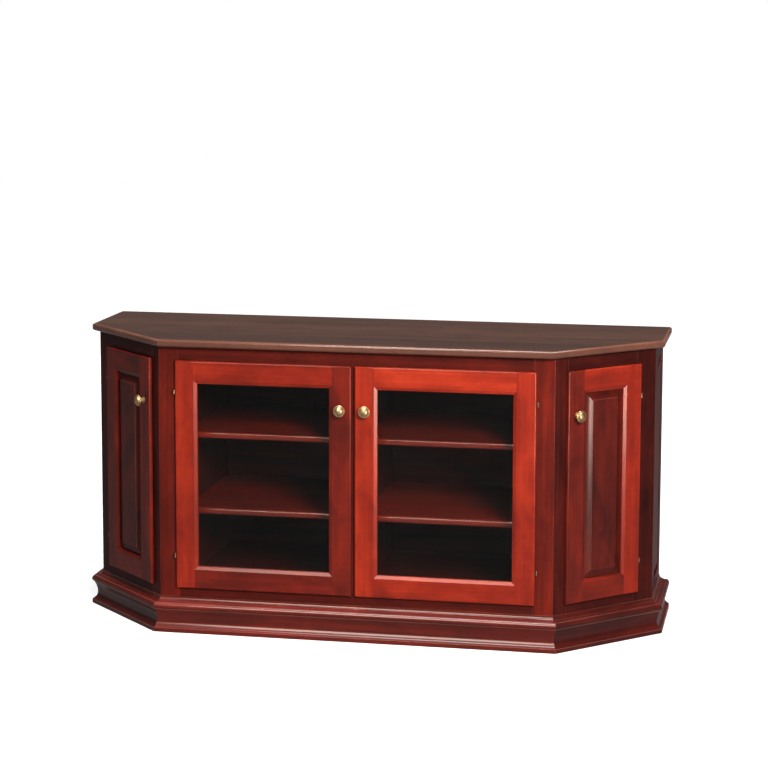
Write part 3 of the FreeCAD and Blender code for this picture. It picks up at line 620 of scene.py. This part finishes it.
knobShape = {
    "reach": 0.025,
    "radius": 0.015,
    "rosette": 0.00825,
    "rosetteFoot": 0.0003,      # chamfer of the rosette on the door
    "rosetteRound": 0.0010,
    "neck": 0.0050,
    "neckTop": 0.0068,
    "cove": (0.0022, 0.0018),   # radii, across and along the knob
    "coveHeight": 0.0040,
    "ring": (0.0012, 0.0009),
    "ringOut": 0.0001,
    "ringHeight": 0.0078,
    "bowl": (0.0066, 0.0050),
    "bowlOut": 0.0068,
    "bowlHeight": 0.0098,
    "rimDrop": 0.0082,          # of the rim below the tip
    "rim": (0.0016, 0.0017),
    "groove": 0.0007,
    "grooveIn": 0.0030,
    "grooveUp": 0.0022,
    "crownIn": 0.0034,
    "crownUp": 0.0009,
    "screw": 0.0020,
    "screwLength": 0.014,
    "turns": 72,
    "smoothTurn": 50,           # degrees, edges that turn less are shaded smooth
}


def arc(centre, radii, first, last, count):
    # Points (radius from the axis, distance from the door) along an elliptical arc, angles in degrees.
    points = []
    for index in range(count + 1):
        angle = math.radians(first + (last - first) * index / count)
        points.append((centre[0] + radii[0] * math.cos(angle), centre[1] + radii[1] * math.sin(angle)))
    return points


def knobProfile():
    shape = knobShape
    wide, tip, neck = shape["radius"], shape["reach"], shape["neck"]
    rosette, bead = shape["rosette"], shape["rosetteRound"]
    rim = tip - shape["rimDrop"]
    profile = [(0, -shape["screwLength"]), (shape["screw"], -shape["screwLength"]), (shape["screw"], 0)]
    profile += [(rosette - shape["rosetteFoot"], 0)]
    profile += arc((rosette - bead, bead), (bead, bead), -90, 90, 8)
    profile += arc((neck + shape["cove"][0], shape["coveHeight"]), shape["cove"], -100, -180, 6)
    profile += [(neck, shape["neckTop"])]
    profile += arc((neck + shape["ringOut"], shape["ringHeight"]), shape["ring"], -70, 70, 6)
    profile += arc((neck + shape["bowlOut"], shape["bowlHeight"]), shape["bowl"], 180, 100, 9)
    profile += arc((wide - shape["rim"][0], rim), shape["rim"], -80, 68, 10)
    profile += arc((wide - shape["grooveIn"], rim + shape["grooveUp"]), (shape["groove"], shape["groove"]),
                   -60, -170, 5)
    crown = (wide - shape["crownIn"], tip - rim - shape["crownUp"])
    profile += arc((0, rim + shape["crownUp"]), crown, 14, 90, 16)
    profile[-1] = (0, tip)
    return profile


def turned(profile, turns):
    # A closed solid turned about Z.
    solid = bmesh.new()
    rings = []
    for radius, height in profile:
        count = turns if radius > 0 else 1
        rings.append([solid.verts.new((radius * math.cos(math.tau * step / turns),
                                       radius * math.sin(math.tau * step / turns), height))
                      for step in range(count)])
    for lower, upper in zip(rings, rings[1:]):
        for step in range(turns):
            after = (step + 1) % turns
            corners = [lower[step % len(lower)], lower[after % len(lower)],
                       upper[after % len(upper)], upper[step % len(upper)]]
            solid.faces.new(list(dict.fromkeys(corners)))
    return solid


def makeKnobs(brass):
    for node in [name for name in nodes if name.endswith("_knob")]:
        turn = wallTurn(node)
        low, high = reachOf(turnedBack([vertex.co for vertex in nodes[node].data.vertices], turn))
        foot = Vector(((low[0] + high[0]) / 2, low[1] + knobShape["reach"], (low[2] + high[2]) / 2))
        solid = turned(knobProfile(), knobShape["turns"])
        tipped = Matrix.Rotation(math.radians(90), 4, "X")
        lean = Matrix.Rotation(turn, 4, "Z") @ Matrix.Translation(foot) @ tipped
        bmesh.ops.transform(solid, matrix=lean, verts=solid.verts)
        mesh = bpy.data.meshes.new(node + "_turned")
        solid.to_mesh(mesh)
        solid.free()
        mesh.materials.append(brass)
        mesh.shade_smooth()
        mesh.set_sharp_from_angle(angle=math.radians(knobShape["smoothTurn"]))
        standFor(newObject(node + "_turned", mesh), node)
    print("knobs turned")


hingeScrew = {
    "headRadius": 0.00185,
    "headDepth": 0.00110,   # of the cone under the head
    "crown": 0.00032,       # how far the head stands above the leaf
    "shankRadius": 0.00085,
    "length": 0.0120,
    "slotWidth": 0.00042,
    "slotDepth": 0.00055,
    "seed": 7,
}
screwForm = {
    "sides": 20,
    "rimTop": 0.2, "coneFoot": 0.46,    # of the crown's height, and of the head's radius
    "crownFoot": 0.1, "crownTop": 0.62,
    "shankTop": 0.7, "shankTip": 0.35,  # of the head's depth, and of the shank's radius
    "slotReach": 1.25, "slotTall": 2.0,
    "mergeReach": 1e-6,
}
hingeLeaf = {
    "screwSpread": 0.017,       # above and below the middle of a leaf
    "doorScrewInset": 0.012,    # from the far edge of a door leaf
    "frameScrewInset": 0.0065,  # from the back edge of a frame leaf
}


def screwTree(finish):
    # Puts one countersunk cross-slot screw on each point, with its head along the point's "facing".
    tree = bpy.data.node_groups.new("hingeScrews", "GeometryNodeTree")
    tree.interface.new_socket("Geometry", in_out="INPUT", socket_type="NodeSocketGeometry")
    for name in hingeScrew:
        kind = "NodeSocketInt" if name == "seed" else "NodeSocketFloat"
        tree.interface.new_socket(name, in_out="INPUT", socket_type=kind)
    tree.interface.new_socket("Geometry", in_out="OUTPUT", socket_type="NodeSocketGeometry")
    start = Wire(tree)
    given = tree.nodes.new("NodeGroupInput")
    points, radius, under, crown, shank, length, slotWidth, slotDepth, seed = [
        Wire(tree, socket) for socket in given.outputs[:len(hingeScrew) + 1]]
    form = screwForm

    def upright(height):
        return start.node("CombineXYZ", {}, {"Z": height})

    def rounded(radius, top, foot, topShare, footShare, steps):
        # A round solid on the Z axis, from foot to top, whose radius runs between two shares of radius.
        line = start.node("GeometryNodeCurvePrimitiveLine", {}, {"Start": upright(foot), "End": upright(top)})
        sampled = start.node("GeometryNodeResampleCurve", {}, {"Curve": line, "Count": steps})
        share = start.node("GeometryNodeSplineParameter", output="Factor")
        taper = start.maths("ADD", footShare, share * (topShare - footShare))
        ring = start.node("GeometryNodeCurvePrimitiveCircle", {}, {
            "Resolution": form["sides"], "Radius": radius})
        return start.node("GeometryNodeCurveToMesh", {}, {
            "Curve": sampled, "Profile Curve": ring, "Scale": taper, "Fill Caps": True})

    def joined(operation, others, first=None):
        made = start.node("GeometryNodeMeshBoolean", {"operation": operation, "solver": "EXACT"},
                          {"Mesh 1": first} if first else {})
        for other in others:
            tree.links.new(other.socket, made.socket.node.inputs["Mesh 2"])
        return made

    parts = [rounded(radius, crown * form["rimTop"], under * -1.0, 1.0, form["coneFoot"], 4),
             rounded(radius, crown, crown * form["crownFoot"], form["crownTop"], 1.0, 3),
             rounded(shank, under * -form["shankTop"], length * -1.0, 1.0, form["shankTip"], 6)]
    solid = joined("UNION", parts)
    reach = radius * form["slotReach"]
    tall = slotDepth * form["slotTall"]
    bars = []
    for wide, deep in ((reach, slotWidth), (slotWidth, reach)):
        size = start.node("CombineXYZ", {}, {"X": wide, "Y": deep, "Z": tall})
        bar = start.node("GeometryNodeMeshCube", {}, {"Size": size})
        bars.append(start.node("GeometryNodeSetPosition", {}, {"Geometry": bar, "Offset": upright(crown)}))
    cut = joined("DIFFERENCE", bars, solid)

    facing = start.node("GeometryNodeInputNamedAttribute", {"data_type": "FLOAT_VECTOR"}, {"Name": "facing"})
    aimed = start.node("FunctionNodeAlignRotationToVector", {"axis": "Z"}, {"Vector": facing})
    chance = start.node("FunctionNodeRandomValue", {"data_type": "FLOAT"}, {"Seed": seed}, output=1)
    spin = start.node("FunctionNodeAxisAngleToRotation", {}, {
        "Axis": (0, 0, 1), "Angle": chance * (math.pi / 2)})
    spun = start.node("FunctionNodeRotateRotation", {"rotation_space": "LOCAL"}, {
        "Rotation": aimed, "Rotate By": spin})
    placed = start.node("GeometryNodeInstanceOnPoints", {}, {
        "Points": points, "Instance": cut, "Rotation": spun})
    real = start.node("GeometryNodeRealizeInstances", {}, {"Geometry": placed})
    painted = start.node("GeometryNodeSetMaterial", {}, {"Geometry": real, "Material": finish})
    tree.links.new(painted.socket, tree.nodes.new("NodeGroupOutput").inputs[0])
    return tree


def screwSpots():
    # For each body, the middle of each screw hole's outer end and the way its head faces.
    spots = {}
    for node in [name for name in nodes if name.endswith(("hinge_leaves", "frame_leaves"))]:
        mesh = nodes[node].data
        onFrame = node == "hinge_frame_leaves"
        for faces in solidsOf(mesh):
            corners = [mesh.vertices[index].co for face in faces for index in mesh.polygons[face].vertices]
            middle = sum((corner.x for corner in corners)) / len(corners)
            inFront = min(corner.y for corner in corners) < wingStart()
            turn = 0 if inFront else math.copysign(math.radians(wallTurns["right_wing"]), middle)
            low, high = reachOf(turnedBack(corners, turn))
            hand = 1 if middle > 0 else -1      # hinges are on the outer side of every door
            far = low[0] if hand > 0 else high[0]
            for way in (-1, 1):
                height = (low[2] + high[2]) / 2 + way * hingeLeaf["screwSpread"]
                if onFrame:
                    place = Vector((far, high[1] - hingeLeaf["frameScrewInset"], height))
                    facing = Vector((-hand, 0, 0))
                else:
                    place = Vector((far + hand * hingeLeaf["doorScrewInset"], high[1], height))
                    facing = Vector((0, 1, 0))
                ahead = Matrix.Rotation(-turn, 3, "Z").inverted()
                spots.setdefault(bodyOf[node], []).append((ahead @ place, ahead @ facing))
    return spots


def wingStart():
    # Y of the front doors' hinges is in front of this, and Y of the wing doors' hinges behind it.
    return (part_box("front_left_stile")[0][1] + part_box("left_wing_stiles")[1][1]) / 2


def makeScrews():
    tree = screwTree(metalFinish("screwBrass"))
    sockets = {item.name: item.identifier for item in tree.interface.items_tree if item.in_out == "INPUT"}
    count = 0
    for body, spots in screwSpots().items():
        mesh = bpy.data.meshes.new(body + "_hinge_screws")
        mesh.from_pydata([place for place, facing in spots], [], [])
        facings = mesh.attributes.new("facing", "FLOAT_VECTOR", "POINT")
        for index, (place, facing) in enumerate(spots):
            facings.data[index].vector = facing
        piece = newObject(body + "_hinge_screws", mesh)
        modifier = piece.modifiers.new("screws", "NODES")
        modifier.node_group = tree
        for name, value in hingeScrew.items():
            modifier[sockets[name]] = value
        settle(piece)
        faceOutwards(piece.data)
        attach(piece, body)
        count += len(spots)
    print("hinge screws:", count)


def faceOutwards(mesh):
    solid = bmesh.new()
    solid.from_mesh(mesh)
    bmesh.ops.remove_doubles(solid, verts=solid.verts, dist=screwForm["mergeReach"])
    bmesh.ops.recalc_face_normals(solid, faces=solid.faces)
    solid.to_mesh(mesh)
    solid.free()


def makeFloor():
    # The camera sees a white floor that throws little light, so that the wood keeps its depth of colour.
    material, start = newMaterial("paleFloor")
    seen = start.node("LightPath", output="Is Camera Ray")
    white = studio["floorSeen"]
    dim = studio["floorThrow"]
    colour = start.node("Mix", {"data_type": "RGBA"}, {
        "Factor": seen, 6: (dim, dim, dim, 1), 7: (white, white, white, 1)}, output=2)
    finishWith(start, start.node("BsdfDiffuse", {}, {"Color": colour}))
    reach = studio["floorReach"]
    corners = [(-reach, -reach, 0), (reach, -reach, 0), (reach, reach, 0), (-reach, reach, 0)]
    mesh = bpy.data.meshes.new("floor")
    mesh.from_pydata(corners, [], [(0, 1, 2, 3)])
    mesh.materials.append(material)
    newObject("floor", mesh)


def makeSky():
    world = bpy.data.worlds.new("studio")
    bpy.context.scene.world = world
    world.use_nodes = True
    sky = Wire(world.node_tree)
    seen = sky.node("LightPath", output="Is Camera Ray")
    strength = seen * studio["skySeen"] + (1 - seen) * studio["skyThrow"]
    world.node_tree.links.new(strength.socket, world.node_tree.nodes["Background"].inputs["Strength"])
    world.node_tree.nodes["Background"].inputs["Color"].default_value = (1, 1, 1, 1)


def paintNodes():
    finishes = {"clear_glass": glassFinish(), "hinge_brass": metalFinish("hingeBrass"),
                "pin_steel": metalFinish("pinSteel")}
    for node, slot in slotOf.items():
        if slot in finishes:
            nodes[node].data.materials.clear()
            nodes[node].data.materials.append(finishes[slot])
    print("glass, hinges and pins finished")


makeCamera()
makeFloor()
makeSky()
makeSun()
makeLights()
makeWood()
makeKnobs(metalFinish("agedBrass"))
makeScrews()
paintNodes()
